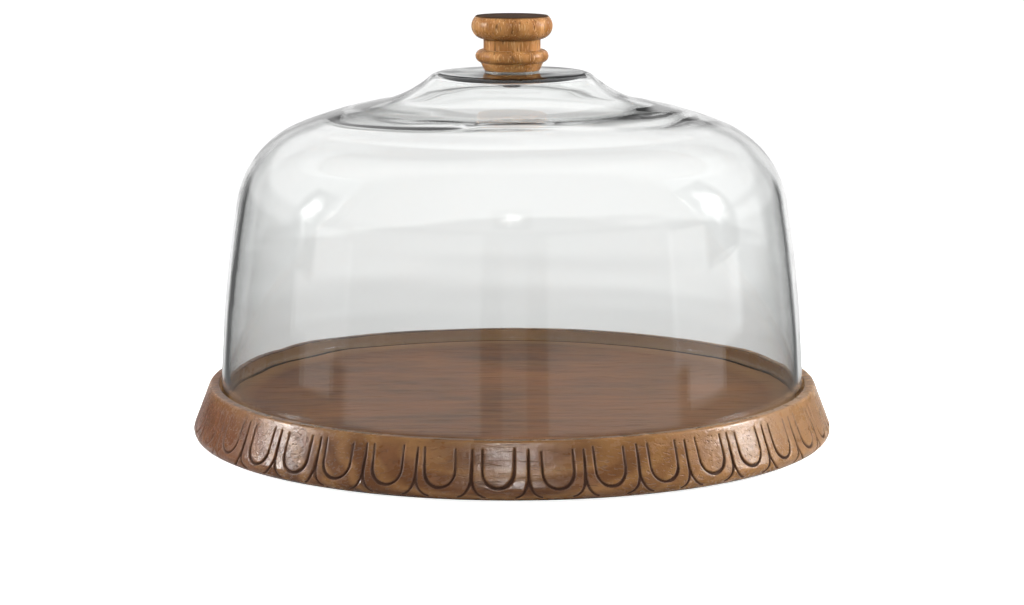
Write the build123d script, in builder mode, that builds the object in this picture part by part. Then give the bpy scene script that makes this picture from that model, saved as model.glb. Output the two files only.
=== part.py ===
from build123d import *
import os
from math import cos, radians, sin, tan

os.makedirs("parts", exist_ok=True)

# A glass cake dome on a round wood tray. Millimetres, +Z up. The origin is on the
# table, under the middle of the tray.

# Felt pads, which lift the tray off the table
pad_radius = 8.0
pad_thickness = 1.5
pad_circle_radius = 135.0
pad_count = 4
first_pad_angle = 45.0

# Tray: one turned slab with a leaning wall and a shallow recess for the dome
tray_height = 27.4
rim_radius = 156.5
wall_lean = 21.0
bottom_edge_radius = 4.5
rim_outer_edge_radius = 1.6
rim_inner_edge_radius = 0.8
recess_radius = 151.5
recess_depth = 7.2
recess_corner_radius = 1.2

# Carving round the wall: U shapes, with a forked stem between neighbours
motif_count = 38
first_motif_angle = -2.0
groove_width = 1.5
groove_depth = 0.9
carving_top = 3.9
u_width = 14.9
u_height = 19.0
stem_height = 14.6
fork_spread = 5.6
fork_drop = 7.6

# Glass dome: outside line from the foot to the flat hub, as tangent arcs
glass_thickness = 4.0
dome_gap = 0.3
dome_foot_radius = 150.8
foot_heading = 91.7
wall_curve_radius = 781.0
wall_sweep = 7.45
shoulder_radius = 49.8
shoulder_sweep = 59.0
crown_radius = 198.7
crown_sweep = 12.0
cove_radius = 58.0
cove_sweep = 31.0
neck_length = 0.81
hub_edge_radius = 8.0
glass_hole_radius = 5.0
foot_edge_radius = 1.4

# Fastening: M5 pan head screw, washer, soft bush and ring, brass insert
screw_radius = 2.5
screw_length = 20.0
head_radius = 4.8
head_height = 3.2
head_edge_radius = 1.6
cross_slot_length = 5.2
cross_slot_width = 1.2
cross_slot_depth = 1.8
washer_radius = 7.15
washer_thickness = 1.5
washer_hole_radius = 2.7
bush_flange_radius = 8.5
bush_flange_thickness = 2.0
bush_sleeve_radius = 4.8
bush_sleeve_height = 3.6
bush_hole_radius = 2.8
ring_radius = 14.0
ring_thickness = 0.6
ring_hole_radius = 3.0
insert_radius = 4.0
insert_length = 10.0
insert_flange_radius = 5.5
insert_flange_thickness = 1.0
insert_bore_radius = 2.55
insert_groove_depth = 0.5
insert_groove_width = 1.0
insert_groove_count = 3
insert_setback = 0.4

# Knob: one turned piece, measured up from its own foot
knob_gap = 0.2
knob_foot_radius = 14.2
knob_foot_top_radius = 16.1
knob_foot_height = 4.0
low_bead_radius = 18.7
low_bead_middle = 7.3
low_bead_top = 10.5
neck_top = 15.8
neck_radius = 14.6
high_bead_radius = 20.8
high_bead_middle = 22.8
knob_height = 27.8
knob_top_radius = 18.3
screw_end_room = 2.0

# Levels
tray_bottom = pad_thickness
tray_top = tray_bottom + tray_height
recess_floor = tray_top - recess_depth
dome_bottom = recess_floor + dome_gap

# Foot pads
for number in range(1, pad_count + 1):
    angle = radians(first_pad_angle + (number - 1) * 360 / pad_count)
    pad_centre = (pad_circle_radius * cos(angle), pad_circle_radius * sin(angle))
    with BuildPart() as foot_pad:
        with BuildSketch(Plane.XY):
            with Locations(pad_centre):
                Circle(pad_radius)
        extrude(amount=pad_thickness)
    foot_pad.part.label = f"foot_pad_{number}"
    export_step(foot_pad.part, f"parts/foot_pad_{number}.step")

# Carving tool, lying on the front of the leaning wall. Its sketch has x along the
# rim and y up the slope, with zero at the tray's top outer corner.
wall_outward = (0, -cos(radians(wall_lean)), sin(radians(wall_lean)))
wall_plane = Plane(origin=(0, -rim_radius, tray_top), x_dir=(1, 0, 0), z_dir=wall_outward)
u_bottom = -carving_top - u_height
u_spring = u_bottom + u_width / 2
stem_bottom = -carving_top - stem_height
fork_end = stem_bottom - fork_drop
half_pitch = 180 / motif_count

with BuildPart() as u_tool:
    with BuildSketch(wall_plane):
        with BuildLine() as u_line:
            left_side = Line((-u_width / 2, -carving_top), (-u_width / 2, u_spring))
            bowl = ThreePointArc(left_side @ 1, (0, u_bottom), (u_width / 2, u_spring))
            Line(bowl @ 1, (u_width / 2, -carving_top))
        trace(line_width=groove_width)
    extrude(amount=groove_depth, both=True)

with BuildPart() as stem_tool:
    with BuildSketch(wall_plane):
        with BuildLine() as stem_line:
            stem = Line((0, -carving_top), (0, stem_bottom))
            for side in (-1, 1):
                fork_tip = (side * fork_spread, fork_end)
                TangentArc(stem @ 1, fork_tip, tangent=(0, -1))
        trace(line_width=groove_width)
    extrude(amount=groove_depth, both=True)

# Tray
wall_foot_radius = rim_radius + tray_height * tan(radians(wall_lean))
with BuildPart() as tray:
    with BuildSketch(Plane.XZ) as tray_section:
        with BuildLine():
            Polyline(
                (0, tray_bottom),
                (wall_foot_radius, tray_bottom),
                (rim_radius, tray_top),
                (recess_radius, tray_top),
                (recess_radius, recess_floor),
                (0, recess_floor),
                close=True,
            )
        make_face()
        rounded_corners = (
            ((wall_foot_radius, tray_bottom), bottom_edge_radius),
            ((rim_radius, tray_top), rim_outer_edge_radius),
            ((recess_radius, tray_top), rim_inner_edge_radius),
            ((recess_radius, recess_floor), recess_corner_radius),
        )
        for corner, edge_radius in rounded_corners:
            fillet(tray_section.vertices().sort_by_distance(corner)[0], edge_radius)
    revolve(axis=Axis.Z)
    with PolarLocations(0, motif_count, start_angle=first_motif_angle):
        add(u_tool.part, mode=Mode.SUBTRACT)
    with PolarLocations(0, motif_count, start_angle=first_motif_angle + half_pitch):
        add(stem_tool.part, mode=Mode.SUBTRACT)
tray.part.label = "tray"
export_step(tray.part, "parts/tray.step")

# Glass dome: a shell of even thickness inside its outside line
with BuildPart() as glass_dome:
    with BuildSketch(Plane.XZ) as dome_section:
        with BuildLine() as outside:
            heading = radians(foot_heading)
            foot = (dome_foot_radius, dome_bottom)
            wall = JernArc(foot, (cos(heading), sin(heading)), wall_curve_radius, wall_sweep)
            shoulder = JernArc(wall @ 1, wall % 1, shoulder_radius, shoulder_sweep)
            crown = JernArc(shoulder @ 1, shoulder % 1, crown_radius, crown_sweep)
            cove = JernArc(crown @ 1, crown % 1, cove_radius, -cove_sweep)
            neck = PolarLine(cove @ 1, neck_length, direction=cove % 1)
            neck_heading = foot_heading + wall_sweep + shoulder_sweep + crown_sweep - cove_sweep
            hub_edge = JernArc(neck @ 1, neck % 1, hub_edge_radius, 180 - neck_heading)
            hub_top = (hub_edge @ 1).Y
            Line(hub_edge @ 1, (glass_hole_radius, hub_top))
            offset(amount=-glass_thickness, side=Side.LEFT)
        make_face()
        foot_corners = dome_section.vertices().sort_by(Axis.Y)[0:2]
        fillet(foot_corners, foot_edge_radius)
    revolve(axis=Axis.Z)
glass_dome.part.label = "glass_dome"
export_step(glass_dome.part, "parts/glass_dome.step")

# Soft flanged bush: its sleeve fills the hole in the glass, its flange lies under it
hub_underside = hub_top - glass_thickness
bush_bottom = hub_underside - bush_flange_thickness
with BuildPart() as flanged_bush:
    with BuildSketch(Plane.XY.offset(bush_bottom)):
        Circle(bush_flange_radius)
    extrude(amount=bush_flange_thickness)
    with BuildSketch(Plane.XY.offset(hub_underside)):
        Circle(bush_sleeve_radius)
    extrude(amount=bush_sleeve_height)
    with Locations((0, 0, bush_bottom)):
        Hole(bush_hole_radius)
flanged_bush.part.label = "flanged_bush"
export_step(flanged_bush.part, "parts/flanged_bush.step")

# Clear ring between the glass and the knob
with BuildPart() as upper_gasket:
    with BuildSketch(Plane.XY.offset(hub_top)):
        Circle(ring_radius)
        Circle(ring_hole_radius, mode=Mode.SUBTRACT)
    extrude(amount=ring_thickness)
upper_gasket.part.label = "upper_gasket"
export_step(upper_gasket.part, "parts/upper_gasket.step")

# Steel washer under the bush
washer_bottom = bush_bottom - washer_thickness
with BuildPart() as steel_washer:
    with BuildSketch(Plane.XY.offset(washer_bottom)):
        Circle(washer_radius)
        Circle(washer_hole_radius, mode=Mode.SUBTRACT)
    extrude(amount=washer_thickness)
    washer_rims = steel_washer.edges().filter_by(GeomType.CIRCLE).group_by(SortBy.RADIUS)[-1]
    fillet(washer_rims, washer_thickness / 4)
steel_washer.part.label = "steel_washer"
export_step(steel_washer.part, "parts/steel_washer.step")

# Pan head screw, put in from below, with a cross slot in its head
head_bottom = washer_bottom - head_height
with BuildPart() as screw:
    with BuildSketch(Plane.XY.offset(head_bottom)):
        Circle(head_radius)
    extrude(amount=head_height)
    fillet(screw.edges().group_by(Axis.Z)[0], head_edge_radius)
    with BuildSketch(Plane.XY.offset(washer_bottom)):
        Circle(screw_radius)
    extrude(amount=screw_length)
    chamfer(screw.edges().group_by(Axis.Z)[-1], screw_radius / 5)
    with BuildSketch(Plane.XY.offset(head_bottom)):
        for turn in (0, 90):
            Rectangle(cross_slot_length, cross_slot_width, rotation=turn)
    extrude(amount=cross_slot_depth, mode=Mode.SUBTRACT)
screw.part.label = "screw"
export_step(screw.part, "parts/screw.step")

# Knob: turned outline, with a stepped hole for the insert and room for the screw's end
knob_bottom = hub_top + ring_thickness + knob_gap
screw_end = washer_bottom + screw_length
hole_depth = screw_end - knob_bottom + screw_end_room
with BuildPart() as knob:
    with BuildSketch(Plane.XZ):
        with BuildLine():
            foot_face = Line((0, knob_bottom), (knob_foot_radius, knob_bottom))
            taper_end = (knob_foot_top_radius, knob_bottom + knob_foot_height)
            taper = Line(foot_face @ 1, taper_end)
            low_bead = ThreePointArc(
                taper @ 1,
                (low_bead_radius, knob_bottom + low_bead_middle),
                (neck_radius, knob_bottom + low_bead_top),
            )
            neck_side = Line(low_bead @ 1, (neck_radius, knob_bottom + neck_top))
            high_bead = ThreePointArc(
                neck_side @ 1,
                (high_bead_radius, knob_bottom + high_bead_middle),
                (knob_top_radius, knob_bottom + knob_height),
            )
            knob_face = Line(high_bead @ 1, (0, knob_bottom + knob_height))
            Line(knob_face @ 1, (0, knob_bottom))
        make_face()
    revolve(axis=Axis.Z)
    with BuildSketch(Plane.XY.offset(knob_bottom)):
        Circle(insert_flange_radius)
    extrude(amount=insert_setback + insert_flange_thickness, mode=Mode.SUBTRACT)
    with BuildSketch(Plane.XY.offset(knob_bottom)):
        Circle(insert_radius)
    extrude(amount=hole_depth, mode=Mode.SUBTRACT)
knob.part.label = "knob"
export_step(knob.part, "parts/knob.step")

# Brass insert: flanged, set a little into the knob's foot, with ring grooves that bite in the wood
insert_bottom = knob_bottom + insert_setback
groove_pitch = (insert_length - insert_flange_thickness) / (insert_groove_count + 1)
with BuildPart() as threaded_insert:
    with BuildSketch(Plane.XY.offset(insert_bottom)):
        Circle(insert_flange_radius)
    extrude(amount=insert_flange_thickness)
    with BuildSketch(Plane.XY.offset(insert_bottom)):
        Circle(insert_radius)
    extrude(amount=insert_length)
    for number in range(1, insert_groove_count + 1):
        groove_level = insert_bottom + insert_flange_thickness + number * groove_pitch
        with BuildSketch(Plane.XY.offset(groove_level)):
            Circle(insert_radius)
            Circle(insert_radius - insert_groove_depth, mode=Mode.SUBTRACT)
        extrude(amount=insert_groove_width / 2, both=True, mode=Mode.SUBTRACT)
    with BuildSketch(Plane.XY.offset(insert_bottom)):
        Circle(insert_bore_radius)
    extrude(amount=insert_length, mode=Mode.SUBTRACT)
threaded_insert.part.label = "threaded_insert"
export_step(threaded_insert.part, "parts/threaded_insert.step")

print(f"hub top {hub_top:.2f}, knob foot {knob_bottom:.2f}, screw head {head_bottom:.2f}")
print(f"overall height {knob_bottom + knob_height:.2f}")
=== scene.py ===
import math
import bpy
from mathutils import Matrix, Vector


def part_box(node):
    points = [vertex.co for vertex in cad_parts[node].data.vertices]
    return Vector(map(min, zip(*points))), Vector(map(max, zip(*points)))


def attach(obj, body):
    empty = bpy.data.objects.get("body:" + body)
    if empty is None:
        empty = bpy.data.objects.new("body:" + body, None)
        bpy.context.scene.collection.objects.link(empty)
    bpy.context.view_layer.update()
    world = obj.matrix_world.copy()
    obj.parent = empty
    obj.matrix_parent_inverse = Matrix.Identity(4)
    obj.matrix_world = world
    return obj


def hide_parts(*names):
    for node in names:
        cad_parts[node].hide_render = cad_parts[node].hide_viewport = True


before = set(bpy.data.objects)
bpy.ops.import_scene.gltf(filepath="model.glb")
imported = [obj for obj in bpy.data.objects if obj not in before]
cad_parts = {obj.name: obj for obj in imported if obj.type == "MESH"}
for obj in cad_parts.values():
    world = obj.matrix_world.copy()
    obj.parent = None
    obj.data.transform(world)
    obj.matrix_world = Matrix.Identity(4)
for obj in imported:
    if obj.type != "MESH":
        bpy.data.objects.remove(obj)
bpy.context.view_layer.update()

from types import SimpleNamespace

import bpy
import numpy as np
from mathutils import Vector

# Levels and radii read from the frame, in metres
tray_low, tray_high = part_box("tray")
glass_low, glass_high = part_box("glass_dome")
knob_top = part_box("knob")[1].z
pad_thickness = tray_low.z
tray_top = tray_high.z
foot_radius = glass_high.x

# Sizes that the CAD source also names, in metres
rim_radius = 0.1565
wall_lean = math.radians(21)
bottom_edge_radius = 0.0045
rim_outer_edge_radius = 0.0016
rim_inner_edge_radius = 0.0008
recess_radius = 0.1515
recess_depth = 0.0072
recess_corner_radius = 0.0012
glass_thickness = 0.004
glass_hole_radius = 0.005
motif_count = 38
first_motif = -math.pi / 2 + math.radians(7.5)

# The dome's outside section from foot to hub: radius in metres, sweep in degrees and steps of each
# tangent arc. A negative radius turns the other way.
foot_heading = math.radians(91.7)
wall_arc = (0.781, 7.45, 36)
shoulder_arc = (0.0498, 59.0, 44)
crown_arc = (0.1987, 12.0, 36)
cove_arc = (-0.058, 31.0, 30)
neck_length = 0.00081
hub_edge_radius = 0.008
crown_end_row = wall_arc[2] + shoulder_arc[2] + crown_arc[2]

# The tray's wall below its rim
recess_floor = tray_top - recess_depth
wall_foot_radius = rim_radius + (tray_top - pad_thickness) * math.tan(wall_lean)
carve_step = 0.00042


# ---------------------------------------------------------------- mesh helpers

def arc_points(centre, radius, start, end, count):
    """Points on an arc in the (r, z) plane, from angle start to angle end."""
    angles = np.linspace(start, end, count)
    return [(centre[0] + radius * math.cos(a), centre[1] + radius * math.sin(a)) for a in angles]


def rounded(points, radii, steps=7):
    """The open outline through points, with each inner corner rounded to its radius."""
    outline = [points[0]]
    for before, corner, after, radius in zip(points, points[1:], points[2:], radii):
        back = np.subtract(before, corner)
        on = np.subtract(after, corner)
        back = back / np.linalg.norm(back)
        on = on / np.linalg.norm(on)
        half = math.acos(float(np.clip(back @ on, -1, 1))) / 2
        if radius == 0:
            outline.append(corner)
            continue
        reach = radius / math.tan(half)
        middle = (back + on) / np.linalg.norm(back + on)
        centre = np.array(corner) + middle * radius / math.sin(half)
        first = np.array(corner) + back * reach - centre
        last = np.array(corner) + on * reach - centre
        start = math.atan2(first[1], first[0])
        turn = (math.atan2(last[1], last[0]) - start + math.pi) % (2 * math.pi) - math.pi
        outline += arc_points(centre, radius, start, start + turn, steps)
    outline.append(points[-1])
    return outline


def divided(outline, longest):
    """The same outline with extra points, so that no step in it is longer than longest(r, z)."""
    fine = [outline[0]]
    for here, there in zip(outline, outline[1:]):
        middle = ((here[0] + there[0]) / 2, (here[1] + there[1]) / 2)
        parts = max(1, math.ceil(math.dist(here, there) / longest(*middle)))
        for part in range(1, parts + 1):
            share = part / parts
            fine.append((here[0] + (there[0] - here[0]) * share, here[1] + (there[1] - here[1]) * share))
    return np.array(fine)


def turned_grid(outline, columns, closed):
    """Radius, height and angle of each vertex of an outline turned round Z, and the quads between them.
    closed joins its last point to its first."""
    rows = len(outline)
    angles = np.linspace(-math.pi, math.pi, columns, endpoint=False)
    radius = np.repeat(outline[:, 0], columns).reshape(rows, columns)
    height = np.repeat(outline[:, 1], columns).reshape(rows, columns)
    angle = np.tile(angles, (rows, 1))
    steps = rows if closed else rows - 1
    row, column = np.meshgrid(np.arange(steps), np.arange(columns), indexing="ij")
    below, right = (row + 1) % rows, (column + 1) % columns
    faces = np.stack([row * columns + column, row * columns + right,
                      below * columns + right, below * columns + column], axis=-1).reshape(-1, 4)
    return radius, height, angle, faces


def ring_vertices(radius, height, angle):
    """Vertices from a turned grid's radii, heights and angles, row by row."""
    return np.stack([radius * np.cos(angle), radius * np.sin(angle), height], -1).reshape(-1, 3)


def mesh_object(name, vertices, faces, material, attributes=None):
    """A smooth-shaded mesh object from arrays, with point attributes that materials can read."""
    mesh = bpy.data.meshes.new(name)
    mesh.from_pydata(vertices.tolist(), [], [list(f) for f in faces])
    mesh.polygons.foreach_set("use_smooth", [True] * len(mesh.polygons))
    for key, values in (attributes or {}).items():
        layer = mesh.attributes.new(key, "FLOAT", "POINT")
        layer.data.foreach_set("value", np.asarray(values, np.float32).ravel())
    mesh.materials.append(material)
    mesh.validate()
    mesh.update()
    piece = bpy.data.objects.new(name, mesh)
    bpy.context.scene.collection.objects.link(piece)
    return piece


def waves(angle, height, seed, strength, count=7):
    """A smooth, seeded, slightly uneven surface round Z, from -strength to strength."""
    rng = np.random.default_rng(seed)
    total = np.zeros_like(angle)
    for _ in range(count):
        around = rng.integers(1, 9)
        along = rng.uniform(8, 55)
        phase = rng.uniform(0, 2 * math.pi)
        total += rng.uniform(0.4, 1.0) * np.sin(around * angle + along * height + phase)
    return strength * total / count * 1.6


def ripples(angle, along, seed, strength, count=16):
    """Fine ripples drawn out round the glass, which come and go. along is the distance up its section."""
    rng = np.random.default_rng(seed)
    total = np.zeros_like(angle)
    for _ in range(count):
        length = rng.uniform(0.008, 0.030)
        lean = rng.integers(-4, 5)
        phase = rng.uniform(0, 2 * math.pi)
        patch = np.clip(0.3 + 0.7 * np.sin(rng.integers(1, 6) * angle + rng.uniform(0, 2 * math.pi)), 0, 1)
        total += length / 0.02 * patch * np.sin(2 * math.pi * along / length + lean * angle + phase)
    return strength * total / math.sqrt(count)


# ---------------------------------------------------------------- node helpers

def new_material(name):
    """A material with an empty tree, its output and one Principled shader."""
    material = bpy.data.materials.new(name)
    material.use_nodes = True
    tree = material.node_tree
    tree.nodes.clear()
    output = tree.nodes.new("ShaderNodeOutputMaterial")
    shader = tree.nodes.new("ShaderNodeBsdfPrincipled")
    tree.links.new(shader.outputs["BSDF"], output.inputs["Surface"])
    return material, tree, shader


def place(tree, scale=(1, 1, 1), location=(0, 0, 0)):
    """Object coordinates in metres, scaled and moved."""
    where = tree.nodes.new("ShaderNodeTexCoord")
    mapping = tree.nodes.new("ShaderNodeMapping")
    mapping.inputs["Scale"].default_value = scale
    mapping.inputs["Location"].default_value = location
    tree.links.new(where.outputs["Object"], mapping.inputs["Vector"])
    return mapping.outputs["Vector"]


def noise(tree, vector, scale, detail=4.0, rough=0.55):
    """A noise value, about 0.3 to 0.7, with scale features to the metre."""
    node = tree.nodes.new("ShaderNodeTexNoise")
    node.inputs["Scale"].default_value = scale
    node.inputs["Detail"].default_value = detail
    node.inputs["Roughness"].default_value = rough
    tree.links.new(vector, node.inputs["Vector"])
    return node.outputs["Fac"]


def spread(tree, value, low, high, to_low=0.0, to_high=1.0, smooth=False):
    """value mapped from low..high to to_low..to_high, clamped."""
    node = tree.nodes.new("ShaderNodeMapRange")
    node.interpolation_type = "SMOOTHSTEP" if smooth else "LINEAR"
    node.inputs["From Min"].default_value = low
    node.inputs["From Max"].default_value = high
    node.inputs["To Min"].default_value = to_low
    node.inputs["To Max"].default_value = to_high
    tree.links.new(value, node.inputs["Value"])
    return node.outputs["Result"]


def maths(tree, operation, first, second=None):
    """One Math node. Each of its values is a socket or a number."""
    node = tree.nodes.new("ShaderNodeMath")
    node.operation = operation
    for socket, value in zip(node.inputs, (first, second)):
        if value is None:
            continue
        if isinstance(value, (int, float)):
            socket.default_value = value
        else:
            tree.links.new(value, socket)
    return node.outputs["Value"]


def blended(tree, factor, first, second):
    """Two colours mixed. Each is a socket or three numbers."""
    node = tree.nodes.new("ShaderNodeMix")
    node.data_type = "RGBA"
    tree.links.new(factor, node.inputs["Factor"])
    for socket, value in ((node.inputs[6], first), (node.inputs[7], second)):
        if isinstance(value, tuple):
            socket.default_value = (*value, 1.0)
        else:
            tree.links.new(value, socket)
    return node.outputs[2]


def attribute(tree, name):
    """A mesh's own point attribute."""
    node = tree.nodes.new("ShaderNodeAttribute")
    node.attribute_name = name
    return node.outputs["Fac"]


def position_axes(tree):
    """The three object coordinates as separate values, in metres."""
    where = tree.nodes.new("ShaderNodeTexCoord")
    axes = tree.nodes.new("ShaderNodeSeparateXYZ")
    tree.links.new(where.outputs["Object"], axes.inputs["Vector"])
    return axes.outputs["X"], axes.outputs["Y"], axes.outputs["Z"]


def bumped(tree, shader, height, distance, strength=1.0):
    """Joins a height to the shader's normal. distance is in metres."""
    node = tree.nodes.new("ShaderNodeBump")
    node.inputs["Distance"].default_value = distance
    node.inputs["Strength"].default_value = strength
    tree.links.new(height, node.inputs["Height"])
    tree.links.new(node.outputs["Normal"], shader.inputs["Normal"])


# ---------------------------------------------------------------- materials

def wood(name, dark, middle, light, grain_axis, ring_centre, along=0.07, pore_share=0.30):
    """Mango wood with growth rings round ring_centre, long pores and blotches. along is how far its
    figure is drawn out on grain_axis. Returns the material, its tree and shader, and its figure, whose
    values each kind of wood joins up."""
    ring_spacing, ring_wander = 0.0085, 0.030
    wander_scale, blotch_scale, fibre_scale, pore_scale = 22, 18, 420, 900
    material, tree, shader = new_material(name)
    stretch = [1.0] * 3
    stretch[grain_axis] = along
    grain = place(tree, tuple(stretch))
    wander = noise(tree, grain, wander_scale, detail=3)
    where = place(tree, tuple(stretch), location=tuple(-c for c in ring_centre))
    flat = tree.nodes.new("ShaderNodeVectorMath")
    flat.operation = "MULTIPLY"
    flat.inputs[1].default_value = tuple(0.35 if i == grain_axis else 1.0 for i in range(3))
    tree.links.new(where, flat.inputs[0])
    length = tree.nodes.new("ShaderNodeVectorMath")
    length.operation = "LENGTH"
    tree.links.new(flat.outputs["Vector"], length.inputs[0])
    reach = maths(tree, "ADD", length.outputs["Value"], maths(tree, "MULTIPLY", wander, ring_wander))
    rings = maths(tree, "SINE", maths(tree, "MULTIPLY", reach, 2 * math.pi / ring_spacing))
    rings = spread(tree, rings, -1, 1)
    blotch = noise(tree, place(tree, (1, 1.6, 1.6)), blotch_scale, detail=5, rough=0.68)
    fibres = noise(tree, grain, fibre_scale, detail=3, rough=0.6)
    pores = spread(tree, noise(tree, grain, pore_scale, detail=1), 0.60, 0.72)
    colour = blended(tree, spread(tree, blotch, 0.32, 0.68), dark, middle)
    colour = blended(tree, spread(tree, rings, 0.35, 1.0, 0.0, 0.42), colour, light)
    rough = spread(tree, blotch, 0.3, 0.7, 0.22, 0.32)
    rough = maths(tree, "ADD", rough, maths(tree, "MULTIPLY", pores, 0.2))
    height = maths(tree, "SUBTRACT", maths(tree, "MULTIPLY", fibres, 0.35), pores)

    def pored(colour):
        """The colour with its dark fibres and darker pores."""
        colour = blended(tree, spread(tree, fibres, 0.35, 0.7, 0.0, 0.25), colour, dark)
        pore_tone = tuple(c * 0.35 for c in dark)
        return blended(tree, maths(tree, "MULTIPLY", pores, pore_share), colour, pore_tone)

    figure = SimpleNamespace(colour=colour, pored=pored, rough=rough, height=height, blotch=blotch)
    return material, tree, shader, figure


def stained_wood():
    """The tray's dark stained wood, dark in the carving. Painted light makes its right side lighter and
    yellower and lightens its recess floor and recess wall; painted shade makes its left side darker and
    redder.
    """
    dark, middle, light = (0.052, 0.020, 0.007), (0.120, 0.051, 0.019), (0.22, 0.112, 0.040)
    # Painted light: a lighter, yellower colour for the right side, standing in for the stronger light there.
    right_painted_light_tone = (0.205, 0.100, 0.032)
    # Painted shade: a darker, redder colour for the left side, standing in for the weaker light there.
    left_painted_shade_tone = (0.100, 0.028, 0.005)
    # Painted light: a lighter recess floor, making up for the light that the glass holds back.
    recess_floor_painted_light_tone = (0.37, 0.150, 0.056)
    # Painted light: a lighter recess wall, against the shade in the gap round the glass's foot.
    recess_wall_painted_light_tone = (0.42, 0.23, 0.105)
    groove_tone = (0.024, 0.0085, 0.003)
    material, tree, shader, figure = wood(
        "stained_mango", dark, middle, light, grain_axis=0, ring_centre=(0.0, 0.09, -0.16))
    inside = attribute(tree, "inside")
    worn = attribute(tree, "worn")
    stain = attribute(tree, "stain")
    place_x, _, _ = position_axes(tree)
    # Painted light towards the right and painted shade towards the left, set by position along x
    right_painted_light = spread(tree, place_x, 0.02, 0.130, 0.0, 0.78, smooth=True)
    colour = blended(tree, right_painted_light, figure.colour, right_painted_light_tone)
    left_painted_shade = spread(tree, place_x, -0.150, -0.10, 0.85, 0.0, smooth=True)
    colour = blended(tree, left_painted_shade, colour, left_painted_shade_tone)
    # Painted light on the recess floor under the glass, patchy with the blotches
    floor_painted_light = maths(tree, "MULTIPLY", inside, spread(tree, figure.blotch, 0.35, 0.65, 0.22, 0.62))
    colour = figure.pored(blended(tree, floor_painted_light, colour, recess_floor_painted_light_tone))
    colour = blended(tree, maths(tree, "MULTIPLY", worn, 0.35), colour, light)
    # Painted light on the recess wall, against the shade in the gap round the glass's foot
    colour = blended(tree, attribute(tree, "recess_wall_painted_light"), colour, recess_wall_painted_light_tone)
    colour = blended(tree, stain, colour, groove_tone)
    matt = maths(tree, "ADD", maths(tree, "MULTIPLY", stain, 0.7), maths(tree, "MULTIPLY", inside, 0.30))
    tree.links.new(colour, shader.inputs["Base Color"])
    tree.links.new(maths(tree, "ADD", figure.rough, matt), shader.inputs["Roughness"])
    shader.inputs["Specular IOR Level"].default_value = 0.20
    shader.inputs["Coat Weight"].default_value = 0.05
    shader.inputs["Coat Roughness"].default_value = 0.22
    pitted = noise(tree, place(tree), 420, detail=3, rough=0.7)
    height = maths(tree, "ADD", figure.height, maths(tree, "MULTIPLY", pitted, 1.6))
    smooth_inside = maths(tree, "SUBTRACT", 1.0, maths(tree, "MULTIPLY", inside, 0.99))
    bumped(tree, shader, maths(tree, "MULTIPLY", height, smooth_inside), 0.00016, 0.8)
    return material


def golden_wood():
    """The knob's lighter wood, with fine light flecks, and dark end grain on its top."""
    fleck_tone = (0.66, 0.42, 0.20)
    end_grain_tone = (0.030, 0.015, 0.007)
    material, tree, shader, figure = wood(
        "golden_mango", (0.16, 0.064, 0.018), (0.30, 0.134, 0.041), (0.46, 0.232, 0.084),
        grain_axis=2, ring_centre=(0.05, 0.03, 0.0), along=0.16, pore_share=0.65)
    colour = figure.pored(figure.colour)
    _, _, place_z = position_axes(tree)
    end_grain = spread(tree, place_z, knob_top - 0.0009, knob_top - 0.0002)
    flecks = noise(tree, place(tree, (1, 1, 0.10)), 1500, detail=2)
    colour = blended(tree, spread(tree, flecks, 0.56, 0.70, 0.0, 0.55), colour, fleck_tone)
    colour = blended(tree, end_grain, colour, end_grain_tone)
    rough = maths(tree, "ADD", figure.rough, maths(tree, "MULTIPLY", end_grain, 0.75))
    tree.links.new(colour, shader.inputs["Base Color"])
    tree.links.new(rough, shader.inputs["Roughness"])
    shader.inputs["Specular IOR Level"].default_value = 0.10
    bumped(tree, shader, figure.height, 0.00022, 1.0)
    return material


def clear_glass():
    """Blown glass, nearly colourless, with a very slight unevenness beyond its mesh's own waves."""
    material, tree, shader = new_material("clear_blown_glass")
    shader.inputs["Base Color"].default_value = (0.965, 0.975, 0.97, 1)
    shader.inputs["Transmission Weight"].default_value = 1.0
    shader.inputs["IOR"].default_value = 1.5
    shader.inputs["Roughness"].default_value = 0.0
    ripple = noise(tree, place(tree, (1, 1, 0.35)), 26, detail=2)
    bumped(tree, shader, ripple, 0.0004, 0.15)
    return material


def soft_vinyl():
    """The clear soft plastic of the ring and bush, slightly clouded."""
    material, tree, shader = new_material("clear_soft_vinyl")
    cloud = noise(tree, place(tree), 300, detail=2)
    colour = blended(tree, spread(tree, cloud, 0.3, 0.7), (0.58, 0.55, 0.50), (0.70, 0.67, 0.61))
    tree.links.new(colour, shader.inputs["Base Color"])
    shader.inputs["Transmission Weight"].default_value = 0.75
    shader.inputs["IOR"].default_value = 1.45
    shader.inputs["Roughness"].default_value = 0.25
    return material


def turned_metal(name, colour, darker, roughness):
    """Turned metal, with fine marks round its axis."""
    material, tree, shader = new_material(name)
    marks = noise(tree, place(tree, (1, 1, 6)), 700, detail=3)
    mixed = blended(tree, spread(tree, marks, 0.35, 0.7), darker, colour)
    tree.links.new(mixed, shader.inputs["Base Color"])
    shader.inputs["Metallic"].default_value = 1.0
    tree.links.new(spread(tree, marks, 0.3, 0.7, roughness, roughness + 0.15), shader.inputs["Roughness"])
    bumped(tree, shader, marks, 0.00005, 0.5)
    return material


def brown_felt():
    """The pads' short brown felt."""
    material, tree, shader = new_material("brown_felt")
    fuzz = noise(tree, place(tree), 2200, detail=4, rough=0.7)
    colour = blended(tree, spread(tree, fuzz, 0.3, 0.7), (0.035, 0.022, 0.015), (0.10, 0.065, 0.045))
    tree.links.new(colour, shader.inputs["Base Color"])
    shader.inputs["Roughness"].default_value = 0.95
    shader.inputs["Sheen Weight"].default_value = 0.4
    bumped(tree, shader, fuzz, 0.0004, 1.0)
    return material


# ---------------------------------------------------------------- tray

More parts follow.
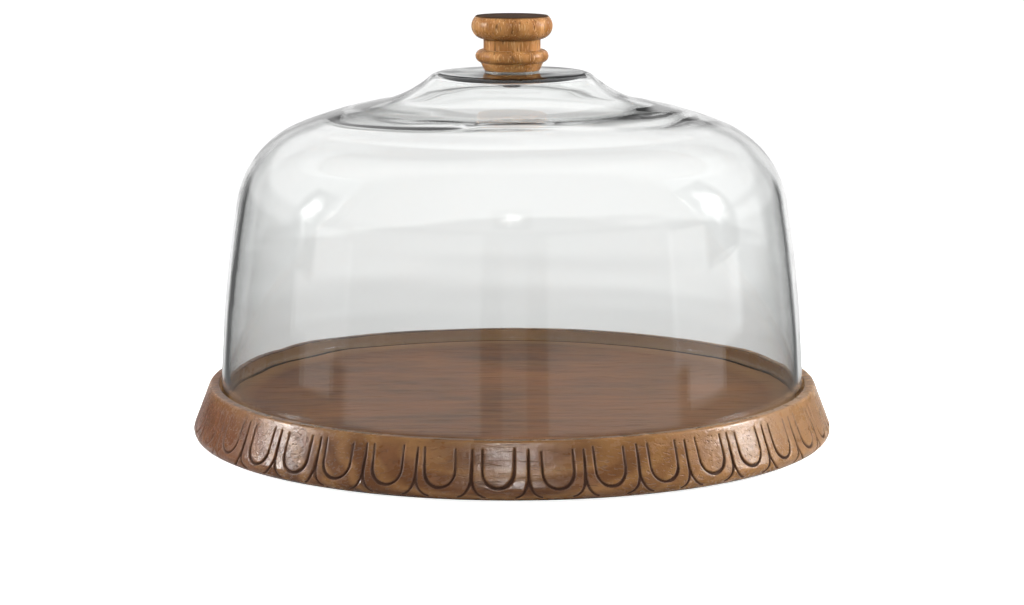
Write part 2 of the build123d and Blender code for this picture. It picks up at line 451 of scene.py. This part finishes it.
def stroke_depth(across, along, line, widths, depths):
    """Depth of a V cut along a polyline. widths and depths are its half width and depth at each point."""
    depth = np.zeros_like(across)
    for (x0, y0), (x1, y1), w0, w1, d0, d1 in zip(line, line[1:], widths, widths[1:], depths, depths[1:]):
        dx, dy = x1 - x0, y1 - y0
        t = np.clip(((across - x0) * dx + (along - y0) * dy) / (dx * dx + dy * dy), 0, 1)
        gap = np.hypot(across - x0 - t * dx, along - y0 - t * dy)
        half = w0 + (w1 - w0) * t
        depth = np.maximum(depth, (d0 + (d1 - d0) * t) * np.clip(1 - gap / half, 0, 1))
    return depth


def carved_strokes(rng):
    """One U and the forked stem at its right, as cut by hand, in metres: x along the rim, y down the wall."""
    u_half_width, u_bottom, u_round = 0.00745, 0.0228, 0.0085
    u_cut, u_cut_swell, u_deepest = 0.00062, 0.00026, 0.00108
    stem_length, stem_cuts, stem_depths = 0.0166, [0.00055, 0.00078, 0.00095], [0.0006, 0.0010, 0.0011]
    fork_reach, fork_bottom = 0.0073, 0.0272
    place_error, end_error = 0.0003, 0.0005

    top = 0.0043 + rng.normal(0, place_error)
    half_width = u_half_width + rng.normal(0, 0.00018)
    bottom = u_bottom + rng.normal(0, place_error)
    lean = rng.normal(0, place_error)
    spring = bottom - u_round
    heavy = rng.choice([-1, 1])
    u_line = [(-half_width - lean, top + rng.normal(0, place_error)),
              (-half_width - lean / 2, (top + spring) / 2)]
    for a in np.linspace(math.pi, 0, 15):
        u_line.append((half_width * math.cos(a), spring + (bottom - spring) * math.sin(a) ** 0.9))
    u_line += [(half_width - lean / 2, (top + spring) / 2),
               (half_width - lean, top + rng.normal(0, place_error))]
    share = np.linspace(0, 1, len(u_line))
    ends = np.clip(np.minimum(share, 1 - share) / 0.22, 0, 1)
    swell = 1 + 0.18 * heavy * np.sin(2 * math.pi * (share - 0.5)) + rng.normal(0, 0.06, len(share))
    strokes = [(u_line, (u_cut + u_cut_swell * ends) * swell, u_deepest * (0.5 + 0.5 * ends))]

    stem_end = stem_length + rng.normal(0, end_error)
    stem = [(0, top - 0.0002), (rng.normal(0, 0.00015), (top + stem_end) / 2), (0, stem_end)]
    strokes.append((stem, stem_cuts, stem_depths))
    leg_share = np.linspace(0, 1, 9)
    for side in (-1, 1):
        reach = fork_reach + rng.normal(0, 0.0006)
        drop = fork_bottom - stem_end
        leg = [(side * reach * (1 - math.cos(a)), stem_end + drop * math.sin(a))
               for a in np.linspace(0, math.radians(80), 9)]
        strokes.append((leg, 0.00092 - 0.00030 * leg_share, 0.00110 - 0.0004 * leg_share))
    return strokes


def carving(angle, slope, radius):
    """How deep the carving is at each point of the wall, from its angle and its distance down the slope."""
    rng = np.random.default_rng(38)
    pitch = 2 * math.pi / motif_count
    depth = np.zeros_like(angle)
    for index in range(motif_count):
        strokes = carved_strokes(rng)
        centre = first_motif + index * pitch + math.radians(rng.normal(0, 0.28))
        for number, (line, width, deep) in enumerate(strokes):
            middle = centre if number == 0 else first_motif + (index + 0.5) * pitch
            turn = (angle - middle + math.pi) % (2 * math.pi) - math.pi
            near = np.abs(turn) < 0.6 * pitch
            across = (turn * radius)[near]
            depth[near] = np.maximum(depth[near], stroke_depth(across, slope[near], line, width, deep))
    return depth


def make_tray():
    """The turned slab, with its wall carved in the mesh and marks that its material reads."""
    centre_radius = 0.004
    plain_step = 0.02
    corners = [
        (centre_radius, pad_thickness), (wall_foot_radius, pad_thickness), (rim_radius, tray_top),
        (recess_radius, tray_top), (recess_radius, recess_floor), (centre_radius, recess_floor),
    ]
    radii = [bottom_edge_radius, rim_outer_edge_radius, rim_inner_edge_radius, recess_corner_radius]
    outline = rounded(corners, radii)

    def longest(r, z):
        on_wall = r > rim_radius - 0.001 and z > pad_thickness
        return carve_step if on_wall else plain_step

    outline = divided(outline, longest)
    columns = round(2 * math.pi * rim_radius / carve_step)
    radius, height, angle, faces = turned_grid(outline, columns, closed=False)
    slope = (tray_top - height) / math.cos(wall_lean)
    on_wall = (radius > rim_radius - 0.0002) & (slope > 0.001)
    depth = np.zeros_like(radius)
    depth[on_wall] = carving(angle[on_wall], slope[on_wall], radius[on_wall])

    # The carving is nearly worn away on a stretch at the left
    from_front = (np.degrees(angle) + 90 + 180) % 360 - 180
    worn_away = np.clip((-55 - from_front) / 7, 0, 1) * np.clip((from_front + 100) / 7, 0, 1)
    depth *= 1 - 0.80 * worn_away
    unevenness = 0.00012
    uneven = waves(angle, height * 20, seed=5, strength=unevenness) - unevenness
    inward = depth + np.where(radius > 0.02, -uneven, 0)
    new_radius = radius - inward * math.cos(wall_lean) * (radius > rim_radius - 0.0002)
    new_height = height - depth * math.sin(wall_lean)

    # The two flat faces close on a vertex each at the axis
    vertices = ring_vertices(new_radius, new_height, angle)
    vertices = np.vstack([vertices, [[0, 0, pad_thickness], [0, 0, recess_floor]]])
    last_ring = (len(outline) - 1) * columns
    quads = faces.tolist()
    middle = len(vertices) - 2
    for column in range(columns):
        following = (column + 1) % columns
        quads.append([middle, following, column])
        quads.append([middle + 1, last_ring + column, last_ring + following])

    stain = np.clip(depth / 0.00030, 0, 1)
    worn = np.exp(-(slope / 0.0042) ** 2) * (radius > recess_radius + 0.002)
    inside = (radius < recess_radius - 0.0002) & (height < tray_top - 0.5 * recess_depth)
    # The stretch of recess wall that gets painted light, against the shade in the gap round the glass's foot
    recess_wall_painted_light = (radius > recess_radius - 0.0019) & (radius < recess_radius + 0.0003)
    recess_wall_painted_light &= (height < tray_top - 0.0004) & (height > pad_thickness + 0.01)
    marks = {
        "stain": np.append(stain.ravel(), [0, 0]),
        "worn": np.append(worn.ravel(), [0, 0]),
        "inside": np.append(inside.ravel(), [0, 1]),
        "recess_wall_painted_light": np.append(recess_wall_painted_light.ravel(), [0, 0]),
    }
    piece = mesh_object("carved_tray", vertices, quads, tray_wood, marks)
    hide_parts("tray")
    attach(piece, "tray")
    return piece


# ---------------------------------------------------------------- glass dome

def dome_outline():
    """The dome's outside line from foot to hub, and the heading at each point, as tangent arcs."""
    heading = foot_heading
    point = np.array([foot_radius, glass_low.z])
    line = [(point[0], point[1], heading)]

    def follow(point, heading, radius, degrees, steps):
        way = math.copysign(1, radius)
        normal = np.array([-math.sin(heading), math.cos(heading)]) * way
        centre = point + abs(radius) * normal
        for step in range(1, steps + 1):
            turn = way * math.radians(degrees) * step / steps
            arm = point - centre
            spun = np.array([arm[0] * math.cos(turn) - arm[1] * math.sin(turn),
                             arm[0] * math.sin(turn) + arm[1] * math.cos(turn)])
            line.append((*(centre + spun), heading + turn))
        return np.array(line[-1][:2]), line[-1][2]

    for arc in (wall_arc, shoulder_arc, crown_arc, cove_arc):
        point, heading = follow(point, heading, *arc)
    for share in (0.5, 1):
        there = point + neck_length * share * np.array([math.cos(heading), math.sin(heading)])
        line.append((*there, heading))
    point = np.array(line[-1][:2])
    point, heading = follow(point, heading, hub_edge_radius, 180 - math.degrees(heading), 12)
    for share in np.linspace(0, 1, 7)[1:]:
        line.append((point[0] + (glass_hole_radius - point[0]) * share, point[1], math.pi))
    return np.array(line)


def outer_unevenness(angle, height, along, crown_end, near_hub, radius):
    """How far the glass's outside stands proud: slow waves, pressed rings, a fold and a swirl at the hub."""
    wave = waves(angle, height, seed=11, strength=0.00010) + ripples(angle, along, 12, 0.000012) - 0.00010
    wander = 1.2 * np.sin(2 * angle + 1) + 0.8 * np.sin(3 * angle)
    pressed_rings = np.exp(-((crown_end + 0.008) / 0.020) ** 2) * np.sin(crown_end / 0.0027 + wander)
    wave += 0.00014 * (0.55 + 0.45 * np.sin(3 * angle + 2)) * pressed_rings
    left_front = np.clip(1.3 * np.cos(angle + math.radians(135)) - 0.3, 0, 1)
    to_left = np.clip((-100 - np.degrees(angle)) / 40, 0, 1)
    fold = crown_end + 0.015 + 0.0115 * to_left * (2 - to_left) + 0.0008 * np.sin(9 * angle)
    wave += -0.00032 * left_front * np.exp(-(fold / 0.0020) ** 2)
    swirl = np.sin(2 * math.pi * radius / 0.011 + 1.5 * np.sin(2 * angle + 0.5))
    wave -= near_hub * 0.00008 * (1 + swirl)
    return wave


def inner_unevenness(angle, height, along, crown_end, near_hub, radius):
    """The same for its inside, where a negative value makes the glass thicker, as each fold does."""
    wave = waves(angle, height, seed=23, strength=0.00022) + ripples(angle, along, 24, 0.000022)
    wobble = 0.0014 * np.sin(5 * angle + 0.4) + 0.0007 * np.sin(11 * angle + 2.0)
    fold = crown_end + 0.003 + 0.0022 * np.sin(2 * angle + 0.6) + wobble
    wave += -0.00048 * (0.70 + 0.30 * np.sin(3 * angle + 1.1)) * np.exp(-(fold / 0.0062) ** 2)
    fold = crown_end + 0.019 + 0.003 * np.sin(2 * angle + 2.2) + wobble
    wave += -0.00026 * (0.55 + 0.45 * np.sin(4 * angle + 2.9)) * np.exp(-(fold / 0.0040) ** 2)
    wave += near_hub * 0.00006 * np.sin(2 * math.pi * radius / 0.013 + 1.8 * np.sin(3 * angle))
    return wave


def make_glass():
    """The blown bell: its outside, its inside at an even thickness, a round foot, and the waves in both."""
    line = dome_outline()
    outside = line[:, :2]
    normal = np.stack([-np.sin(line[:, 2]), np.cos(line[:, 2])], -1)
    inside = outside + normal * glass_thickness
    foot_round = [inside[0] + (outside[0] - inside[0]) * s for s in (0.9, 0.5, 0.1)]
    loop = np.vstack([outside, inside[::-1], np.array(foot_round)])
    columns = 300
    radius, height, angle, faces = turned_grid(loop, columns, closed=True)
    outer_rows = len(outside)
    rows = np.arange(len(loop))[:, None]
    is_outer = rows < outer_rows
    is_inner = (rows >= outer_rows) & (rows < 2 * outer_rows)

    # Distance up the section, from the foot and from the crown's end. The foot and the hole stay true.
    steps = np.linalg.norm(np.diff(outside, axis=0), axis=1)
    run = np.concatenate([[0], np.cumsum(steps)])
    run = np.concatenate([run, run[::-1], [0, 0, 0]])
    along = np.repeat(run, columns).reshape(len(loop), columns)
    crown_end = along - run[crown_end_row]
    fade = np.clip((height - glass_low.z) / 0.02, 0, 1) * np.clip((radius - 0.0155) / 0.010, 0, 1)
    near_hub = np.clip((0.048 - radius) / 0.008, 0, 1)

    outer_wave = outer_unevenness(angle, height, along, crown_end, near_hub, radius)
    inner_wave = inner_unevenness(angle, height, along, crown_end, near_hub, radius)
    push = np.where(is_outer, outer_wave, np.where(is_inner, inner_wave, 0)) * fade
    all_normals = np.vstack([normal, normal[::-1], np.zeros((3, 2))])
    radius = radius - push * all_normals[:, 0:1]
    height = height - push * all_normals[:, 1:2]
    vertices = ring_vertices(radius, height, angle)
    piece = mesh_object("blown_glass_dome", vertices, faces, glass_material)
    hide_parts("glass_dome")
    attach(piece, "dome")
    return piece


# ---------------------------------------------------------------- carried-over CAD nodes

def dress(node, material):
    """Gives a CAD node its finish."""
    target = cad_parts[node]
    target.data.materials.clear()
    target.data.materials.append(material)
    for face in target.data.polygons:
        face.material_index = 0


# ---------------------------------------------------------------- studio

def make_floor():
    """A pale disc that fades out round the tray. Seen directly it is as white as the surroundings."""
    seen_fade, bounce_fade = (0.30, 0.40), (0.19, 0.26)
    floor_radius, corners = 0.65, 96
    material, tree, shader = new_material("pale_floor")
    shader.inputs["Base Color"].default_value = (0.58, 0.58, 0.58, 1)
    shader.inputs["Roughness"].default_value = 0.9
    output = next(n for n in tree.nodes if n.type == "OUTPUT_MATERIAL")
    glow = tree.nodes.new("ShaderNodeEmission")
    glow.inputs["Strength"].default_value = 0.95
    lit = tree.nodes.new("ShaderNodeAddShader")
    tree.links.new(shader.outputs["BSDF"], lit.inputs[0])
    tree.links.new(glow.outputs["Emission"], lit.inputs[1])
    path = tree.nodes.new("ShaderNodeLightPath")
    seen = tree.nodes.new("ShaderNodeMixShader")
    tree.links.new(path.outputs["Is Camera Ray"], seen.inputs["Fac"])
    tree.links.new(shader.outputs["BSDF"], seen.inputs[1])
    tree.links.new(lit.outputs["Shader"], seen.inputs[2])
    where = tree.nodes.new("ShaderNodeTexCoord")
    distance = tree.nodes.new("ShaderNodeVectorMath")
    distance.operation = "LENGTH"
    tree.links.new(where.outputs["Object"], distance.inputs[0])
    edge = tree.nodes.new("ShaderNodeMix")
    tree.links.new(path.outputs["Is Camera Ray"], edge.inputs["Factor"])
    tree.links.new(spread(tree, distance.outputs["Value"], *bounce_fade, smooth=True), edge.inputs[2])
    tree.links.new(spread(tree, distance.outputs["Value"], *seen_fade, smooth=True), edge.inputs[3])
    open_air = tree.nodes.new("ShaderNodeBsdfTransparent")
    whole = tree.nodes.new("ShaderNodeMixShader")
    tree.links.new(edge.outputs[0], whole.inputs["Fac"])
    tree.links.new(seen.outputs["Shader"], whole.inputs[1])
    tree.links.new(open_air.outputs["BSDF"], whole.inputs[2])
    tree.links.new(whole.outputs["Shader"], output.inputs["Surface"])

    mesh = bpy.data.meshes.new("floor")
    angles = np.linspace(0, 2 * math.pi, corners, endpoint=False)
    ring = [(floor_radius * math.cos(a), floor_radius * math.sin(a), 0) for a in angles]
    mesh.from_pydata(ring, [], [list(range(corners))])
    mesh.materials.append(material)
    floor = bpy.data.objects.new("floor", mesh)
    bpy.context.scene.collection.objects.link(floor)


def make_world():
    """White where it is seen directly. Glass and lacquer see a studio instead: a paper backdrop, a ceiling,
    walls, cards and a dark gap, all fixed in the room. Azimuths and elevations are in degrees, with azimuth
    0 at the front and positive to the right."""
    world = bpy.data.worlds.new("studio")
    bpy.context.scene.world = world
    world.use_nodes = True
    tree = world.node_tree
    tree.nodes.clear()
    output = tree.nodes.new("ShaderNodeOutputWorld")
    path = tree.nodes.new("ShaderNodeLightPath")
    white = tree.nodes.new("ShaderNodeBackground")
    white.inputs["Color"].default_value = (1, 1, 1, 1)
    white.inputs["Strength"].default_value = 1.1
    room = tree.nodes.new("ShaderNodeBackground")
    room.inputs["Color"].default_value = (1, 1, 1, 1)
    chosen = tree.nodes.new("ShaderNodeMixShader")
    tree.links.new(path.outputs["Is Camera Ray"], chosen.inputs["Fac"])
    tree.links.new(room.outputs["Background"], chosen.inputs[1])
    tree.links.new(white.outputs["Background"], chosen.inputs[2])
    tree.links.new(chosen.outputs["Shader"], output.inputs["Surface"])
    where = tree.nodes.new("ShaderNodeTexCoord")
    axes = tree.nodes.new("ShaderNodeSeparateXYZ")
    tree.links.new(where.outputs["Generated"], axes.inputs["Vector"])
    up = axes.outputs["Z"]
    toward_camera = maths(tree, "MULTIPLY", axes.outputs["Y"], -1)
    azimuth = maths(tree, "ARCTAN2", axes.outputs["X"], toward_camera)
    turned_away = maths(tree, "ABSOLUTE", azimuth)

    def rise(low, high):
        """0 below the elevation low, 1 above high."""
        low, high = math.sin(math.radians(low)), math.sin(math.radians(high))
        return spread(tree, up, low, high, smooth=True)

    def fall(low, high):
        """1 below the elevation low, 0 above high."""
        low, high = math.sin(math.radians(low)), math.sin(math.radians(high))
        return spread(tree, up, low, high, 1.0, 0.0, smooth=True)

    def sector(centre, half, soft):
        """1 within half a width of an azimuth, 0 outside it."""
        away = maths(tree, "ABSOLUTE", maths(tree, "SUBTRACT", azimuth, math.radians(centre)))
        return spread(tree, away, math.radians(half), math.radians(half + soft), 1.0, 0.0, smooth=True)

    def beyond(low, high):
        """0 in front of the azimuth low, on both sides, and 1 behind high."""
        return spread(tree, turned_away, math.radians(low), math.radians(high), smooth=True)

    def product(*parts):
        total = parts[0]
        for part in parts[1:]:
            total = maths(tree, "MULTIPLY", total, part)
        return total

    def rest(part):
        return maths(tree, "SUBTRACT", 1.0, part)

    def total(*parts):
        level = parts[0]
        for part in parts[1:]:
            level = maths(tree, "ADD", level, part)
        return level

    # The paper behind the object, with a fold low down, and the wall above it
    left_behind = spread(tree, azimuth, math.radians(-162), math.radians(-157), 1.0, 0.0, smooth=True)
    right_behind = spread(tree, azimuth, math.radians(153), math.radians(158), smooth=True)
    behind = total(left_behind, right_behind)
    paper = total(product(rise(-10.2, -8.2), 0.22), product(rise(-7.9, -7.6), 0.14), 0.62)
    left_falloff = spread(tree, axes.outputs["X"], -0.10, -0.01, 0.92, 1.0)
    backdrop = product(behind, fall(-5, 0), paper, left_falloff)
    straight_behind = beyond(174.5, 177.5)
    paper_end = total(product(straight_behind, fall(3, 8)), product(rest(straight_behind), fall(9, 13)))
    above_paper = product(behind, rise(-5, 0), paper_end, 0.76)

    # The ceiling, brighter at the back and cut off higher in the middle, and the walls at its sides
    middle = beyond(168, 173)
    ceiling_edge = total(product(middle, rise(30, 33)), product(rest(middle), rise(13, 19)))
    ceiling = product(ceiling_edge, total(product(beyond(80, 110), 0.66), 0.30))
    core = total(product(behind, fall(9, 13)), product(beyond(169, 173), rise(9, 13)))
    side_wall = product(beyond(98, 108), rest(core), rise(1, 6), fall(13, 19), 0.42)

    # In front: a pale wall with a gap and a streak in it, and cards at both sides
    front = product(sector(0, 66, 4), fall(8, 16), 0.55)
    gap = rest(product(sector(1, 12, 2), 0.85))
    streak = product(sector(1, 4, 1.5), fall(6, 12), 0.25)
    left_card = product(sector(-82, 14, 1), rise(-4, -3), fall(6, 8), 0.75)
    right_card = product(sector(85, 18, 1), rise(-4, -3), fall(6, 8), 0.85)
    left_low_card = product(sector(-82.5, 7.5, 1), rise(-6.8, -6.2), fall(-4, -3), 0.60)
    right_low_card = product(sector(82, 9, 1), rise(-6.8, -6.2), fall(-4, -3), 0.85)
    right_fill = product(sector(112, 12, 5), rise(-4, 0), fall(9, 14), 0.55)
    level = total(backdrop, product(front, gap), above_paper, right_fill, ceiling, side_wall, streak,
                  left_card, right_card, left_low_card, right_low_card, 0.12)

    # Seen straight through both walls of the glass, the paper stands behind the dome from every side
    straight = product(maths(tree, "GREATER_THAN", path.outputs["Transmission Depth"], 3.5),
                       maths(tree, "LESS_THAN", path.outputs["Glossy Depth"], 0.5),
                       maths(tree, "LESS_THAN", path.outputs["Diffuse Depth"], 0.5),
                       rest(behind))
    paper_around = total(product(fall(-5, 0), paper), product(rise(-5, 0), 0.76), 0.12)
    level = total(product(level, rest(straight)), product(paper_around, straight))
    tree.links.new(level, room.inputs["Strength"])


def softbox(name, azimuth, elevation, distance, width, height, radiance, mirrored):
    """A soft panel light with uneven edges, aimed at the dome. Azimuth 0 is behind the camera, positive to
    its right. mirrored is the share of its brightness that a sharp reflection in the glass shows."""
    material, tree, shader = new_material(name)
    output = next(n for n in tree.nodes if n.type == "OUTPUT_MATERIAL")
    tree.nodes.remove(shader)
    across, up, _ = position_axes(tree)
    target = Vector((0, 0, 0.11))
    across = maths(tree, "MULTIPLY", across, 2 / width)
    up = maths(tree, "MULTIPLY", up, 2 / height)
    cloud = noise(tree, place(tree, (1 / width, 1 / height, 1)), 3.2, detail=4, rough=0.6)
    reach = maths(tree, "SQRT", maths(tree, "ADD", maths(tree, "MULTIPLY", across, across),
                                      maths(tree, "MULTIPLY", up, up)))
    reach = maths(tree, "ADD", reach, maths(tree, "MULTIPLY", maths(tree, "SUBTRACT", cloud, 0.5), 1.3))
    level = maths(tree, "POWER", spread(tree, reach, 0.15, 1.0, 1.0, 0.0), 3.0)
    side = tree.nodes.new("ShaderNodeNewGeometry")
    level = maths(tree, "MULTIPLY", level, maths(tree, "SUBTRACT", 1.0, side.outputs["Backfacing"]))
    path = tree.nodes.new("ShaderNodeLightPath")
    undiffused = maths(tree, "LESS_THAN", path.outputs["Diffuse Depth"], 0.5)
    in_glass = maths(tree, "MULTIPLY", path.outputs["Is Singular Ray"], undiffused)
    shown = maths(tree, "SUBTRACT", 1.0, maths(tree, "MULTIPLY", in_glass, 1 - mirrored))
    level = maths(tree, "MULTIPLY", maths(tree, "MULTIPLY", level, shown), radiance)
    glow = tree.nodes.new("ShaderNodeEmission")
    tree.links.new(level, glow.inputs["Strength"])
    tree.links.new(glow.outputs["Emission"], output.inputs["Surface"])
    mesh = bpy.data.meshes.new(name)
    corners = [(-width / 2, -height / 2, 0), (-width / 2, height / 2, 0),
               (width / 2, height / 2, 0), (width / 2, -height / 2, 0)]
    mesh.from_pydata(corners, [], [[0, 1, 2, 3]])
    mesh.materials.append(material)
    panel = bpy.data.objects.new(name, mesh)
    a, e = math.radians(azimuth), math.radians(elevation)
    away = Vector((math.sin(a) * math.cos(e), -math.cos(a) * math.cos(e), math.sin(e)))
    panel.location = target + away * distance
    panel.rotation_mode = "QUATERNION"
    panel.rotation_quaternion = away.to_track_quat("Z", "Y")
    panel.visible_camera = False
    panel.visible_shadow = False
    bpy.context.scene.collection.objects.link(panel)


def fill_light():
    """A weak broad light from above, which the glass and the lacquer don't mirror."""
    data = bpy.data.lights.new("fill_light", "AREA")
    data.size = 1.2
    data.energy = 2
    lamp = bpy.data.objects.new("fill_light", data)
    lamp.location = (0, -0.6, 1.8)
    lamp.rotation_euler = (math.radians(20), 0, 0)
    lamp.visible_glossy = False
    lamp.visible_transmission = False
    bpy.context.scene.collection.objects.link(lamp)


def camera():
    """The photograph's view: from just above, through a long lens."""
    data = bpy.data.cameras.new("camera")
    data.sensor_width = 36
    data.lens = 103.2
    data.clip_start, data.clip_end = 0.05, 50
    looking_down = 0.166
    view = bpy.data.objects.new("camera", data)
    view.location = (0, -1.500, 0.3184 + pad_thickness)
    view.rotation_euler = (math.pi / 2 - looking_down, 0, 0)
    bpy.context.scene.collection.objects.link(view)
    bpy.context.scene.camera = view


# ---------------------------------------------------------------- the scene

tray_wood = stained_wood()
knob_wood = golden_wood()
glass_material = clear_glass()
vinyl = soft_vinyl()
zinc = turned_metal("zinc_plate", (0.55, 0.56, 0.57), (0.38, 0.38, 0.39), 0.28)
dark_steel = turned_metal("dark_plated_steel", (0.16, 0.16, 0.17), (0.08, 0.08, 0.085), 0.3)
brass = turned_metal("turned_brass", (0.78, 0.56, 0.24), (0.55, 0.36, 0.13), 0.25)
felt = brown_felt()

make_tray()
make_glass()
dress("knob", knob_wood)
for node in ("upper_gasket", "flanged_bush"):
    dress(node, vinyl)
dress("steel_washer", zinc)
dress("screw", dark_steel)
dress("threaded_insert", brass)
for node in sorted(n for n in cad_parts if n.startswith("foot_pad_")):
    dress(node, felt)

make_floor()
make_world()
softbox("left_softbox", azimuth=-90, elevation=16.5, distance=1.3,
        width=0.34, height=0.74, radiance=190, mirrored=0.055)
softbox("right_softbox", azimuth=91.5, elevation=20, distance=1.3,
        width=0.46, height=0.88, radiance=185, mirrored=0.06)
softbox("front_softbox", azimuth=0, elevation=29, distance=1.7,
        width=0.44, height=0.66, radiance=175, mirrored=0.025)
fill_light()
camera()
bpy.context.scene.view_settings.view_transform = "Standard"
